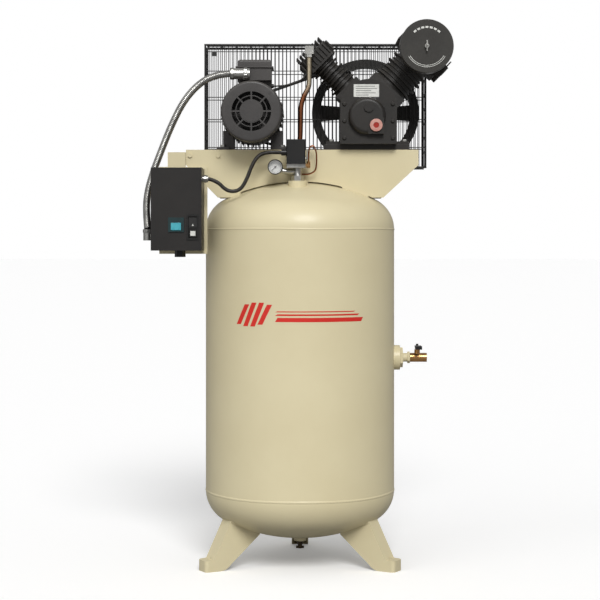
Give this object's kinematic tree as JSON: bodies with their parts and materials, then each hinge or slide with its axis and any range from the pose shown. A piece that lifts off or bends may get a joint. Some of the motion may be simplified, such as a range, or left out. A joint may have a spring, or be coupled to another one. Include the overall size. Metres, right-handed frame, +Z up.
{
  "type": "vertical tank compressor",
  "caption": "Two-stage belt-driven air compressor on a vertical three-legged tank, with motor, V pump, wire belt guard, starter box, pressure switch and outlet ball valve.",
  "frame": {"origin": "on the floor, on the tank's axis, at the centre of the foot bolt circle", "axes": "+Z up, along the tank; +X out along the air outlet; -Y towards the front of the machine"},
  "size_m": [0.9841, 0.6626, 1.733],
  "materials": {
    "aluminium": "cast",
    "black_paint": "satin enamel",
    "black_plastic": "moulded",
    "brass": "turned",
    "copper": "drawn tube",
    "deck_paint": "satin enamel",
    "glass": "clear",
    "pump_iron": "painted casting",
    "rubber": "matte",
    "steel": "machined",
    "tank_paint": "satin enamel",
    "teal_plastic": "moulded",
    "zinc": "zinc plated"
  },
  "bodies": {
    "frame": {"air_manifold": "brass", "conduit": "zinc", "crankcase": "pump_iron", "crankcase_cover": "pump_iron", "discharge_line": "copper", "drain_valve_body": "brass", "drive_belts": "rubber", "feet": "tank_paint", "filter_base": "black_paint", "filter_cover": "black_paint", "first_stage_cylinder": "pump_iron", "first_stage_head": "pump_iron", "gauge_case": "black_paint", "gauge_lens": "glass", "guard_front": "black_paint", "guard_rear": "black_paint", "guard_rim": "black_paint", "intercooler": "copper", "machine_bolts": "zinc", "motor_conduit_box": "black_paint", "motor_endbells": "black_paint", "motor_fan_cover": "black_paint", "motor_frame": "black_paint", "oil_sight_glass": "zinc", "operator_bezels": "black_plastic", "outlet_valve_body": "brass", "platform": "deck_paint", "pressure_switch_base": "zinc", "pressure_switch_cover": "black_plastic", "pump_rails": "black_paint", "safety_valve_body": "brass", "second_stage_cylinder": "pump_iron", "second_stage_head": "pump_iron", "sensor_lead": "rubber", "shaft_bearings": "steel", "starter_base": "black_paint", "starter_bracket": "deck_paint", "starter_contactor": "black_plastic", "starter_cover": "black_paint", "switch_cable": "rubber", "tank_bottom_head": "tank_paint", "tank_couplings": "tank_paint", "tank_shell": "tank_paint", "tank_top_head": "tank_paint", "unloader_line": "copper", "wiring_fittings": "zinc"},
    "flywheel_shaft": {"flywheel": "pump_iron", "crankshaft": "steel"},
    "motor_shaft": {"motor_rotor": "steel", "motor_pulley": "pump_iron"},
    "first_piston_body": {"first_stage_piston": "aluminium"},
    "second_piston_body": {"second_stage_piston": "aluminium"},
    "needle": {"gauge_needle": "black_paint"},
    "outlet_lever": {"outlet_valve_lever": "steel"},
    "drain_wing": {"drain_valve_wing": "brass"},
    "rocker": {"start_stop_rocker": "black_plastic"},
    "button": {"reset_button": "teal_plastic"},
    "wing_nut": {"filter_wing_nut": "zinc"},
    "switch_lever": {"pressure_switch_lever": "black_plastic"},
    "safety_ring": {"safety_valve_ring": "steel"}
  },
  "joints": [
    {"name": "flywheel_spin", "type": "hinge", "parent": "frame", "child": "flywheel_shaft", "pos_m": [0.218, 0, 1.463], "axis": [0, 1, 0], "continuous": true},
    {"name": "motor_spin", "type": "hinge", "parent": "frame", "child": "motor_shaft", "pos_m": [-0.152, 0, 1.4443], "axis": [0, 1, 0], "continuous": true},
    {"name": "first_stroke", "type": "slide", "parent": "frame", "child": "first_piston_body", "axis": [0.7071, 0, 0.7071], "range_m": [-0.0087, 0.0512]},
    {"name": "second_stroke", "type": "slide", "parent": "frame", "child": "second_piston_body", "axis": [-0.7071, 0, 0.7071], "range_m": [-0.0087, 0.0512]},
    {"name": "gauge_sweep", "type": "hinge", "parent": "frame", "child": "needle", "pos_m": [-0.078, -0.155, 1.272], "axis": [0, 1, 0], "range_deg": [0, 270]},
    {"name": "outlet_turn", "type": "hinge", "parent": "frame", "child": "outlet_lever", "pos_m": [0.38, 0, 0.66], "axis": [0, 0, 1], "range_deg": [0, 90]},
    {"name": "drain_turn", "type": "hinge", "parent": "frame", "child": "drain_wing", "pos_m": [0, 0, 0.05], "axis": [0, 0, 1], "range_deg": [0, 270]},
    {"name": "rocker_tilt", "type": "hinge", "parent": "frame", "child": "rocker", "pos_m": [-0.333, -0.228, 1.082], "axis": [1, 0, 0], "range_deg": [-8, 8]},
    {"name": "button_press", "type": "slide", "parent": "frame", "child": "button", "axis": [0, 1, 0], "range_m": [0, 0.003], "stiffness_N_per_m": 300},
    {"name": "wing_nut_turn", "type": "hinge", "parent": "frame", "child": "wing_nut", "pos_m": [0.397, -0.21, 1.649], "axis": [0, 1, 0], "range_deg": [0, 360]},
    {"name": "switch_lever_turn", "type": "hinge", "parent": "frame", "child": "switch_lever", "pos_m": [0.0174, -0.14, 1.3], "axis": [1, 0, 0], "range_deg": [0, 45]},
    {"name": "safety_ring_pull", "type": "slide", "parent": "frame", "child": "safety_ring", "axis": [0, 0, 1], "range_m": [0, 0.004], "stiffness_N_per_m": 500}
  ],
  "couplings": [
    {"joint": "motor_spin", "follows": "flywheel_spin", "ratio": 2.5}
  ]
}
